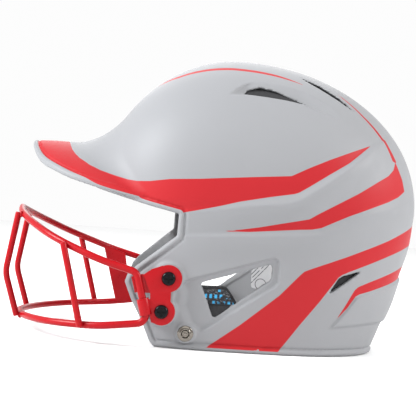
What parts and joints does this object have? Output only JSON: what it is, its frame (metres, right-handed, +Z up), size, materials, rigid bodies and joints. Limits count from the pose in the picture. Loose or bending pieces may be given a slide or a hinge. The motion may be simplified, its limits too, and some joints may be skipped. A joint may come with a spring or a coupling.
{
  "type": "batting helmet",
  "caption": "Batting helmet: hard shell with an arched bill, ear windows and vents, a padded liner and a screwed-on wire face mask with chin-strap snaps.",
  "frame": {"origin": "middle of the bounding box at the plane of the shell's lower rim", "axes": "+Z up, -X to the front, +Y to the wearer's right"},
  "size_m": [0.3247, 0.2144, 0.2247],
  "materials": {
    "shell_plastic": "matte moulded plastic with red graphics",
    "liner_foam": "closed-cell foam",
    "pad_fabric": "heathered knit over foam",
    "mask_coat": "glossy powder coat",
    "screw_black": "gloss black",
    "nut_steel": "zinc plated",
    "snap_nickel": "nickel plated",
    "label_film": "printed film"
  },
  "bodies": {
    "helmet": {"shell": "shell_plastic", "inner_label": "label_film", "crown_foam": "liner_foam", "crown_pad": "pad_fabric", "front_foam": "liner_foam", "brow_pad": "pad_fabric", "rear_foam": "liner_foam", "nape_pad": "pad_fabric", "side_foam_left": "liner_foam", "side_pad_left": "pad_fabric", "side_foam_right": "liner_foam", "side_pad_right": "pad_fabric", "jaw_foam_left": "liner_foam", "jaw_pad_left": "pad_fabric", "jaw_foam_right": "liner_foam", "jaw_pad_right": "pad_fabric", "mask_perimeter_wire": "mask_coat", "mask_front_wire_left": "mask_coat", "mask_front_wire_right": "mask_coat", "mask_side_wire_left": "mask_coat", "mask_side_wire_right": "mask_coat", "mask_plate_left": "mask_coat", "mask_plate_right": "mask_coat", "mask_label_plate": "mask_coat", "mask_t_nuts": "nut_steel", "chin_snap_stud_left": "snap_nickel", "chin_snap_stud_right": "snap_nickel", "chin_snap_post_left": "snap_nickel", "chin_snap_post_right": "snap_nickel"},
    "mask_screw_upper_left": {"mask_screw_upper_left": "screw_black"},
    "mask_screw_lower_left": {"mask_screw_lower_left": "screw_black"},
    "mask_screw_upper_right": {"mask_screw_upper_right": "screw_black"},
    "mask_screw_lower_right": {"mask_screw_lower_right": "screw_black"}
  },
  "joints": [
    {"name": "screw_upper_left_slide", "type": "slide", "parent": "helmet", "child": "mask_screw_upper_left", "axis": [0, -1, 0], "range_m": [0, 0.016]},
    {"name": "screw_lower_left_slide", "type": "slide", "parent": "helmet", "child": "mask_screw_lower_left", "axis": [0, -1, 0], "range_m": [0, 0.016]},
    {"name": "screw_upper_right_slide", "type": "slide", "parent": "helmet", "child": "mask_screw_upper_right", "axis": [0, 1, 0], "range_m": [0, 0.016]},
    {"name": "screw_lower_right_slide", "type": "slide", "parent": "helmet", "child": "mask_screw_lower_right", "axis": [0, 1, 0], "range_m": [0, 0.016]}
  ]
}
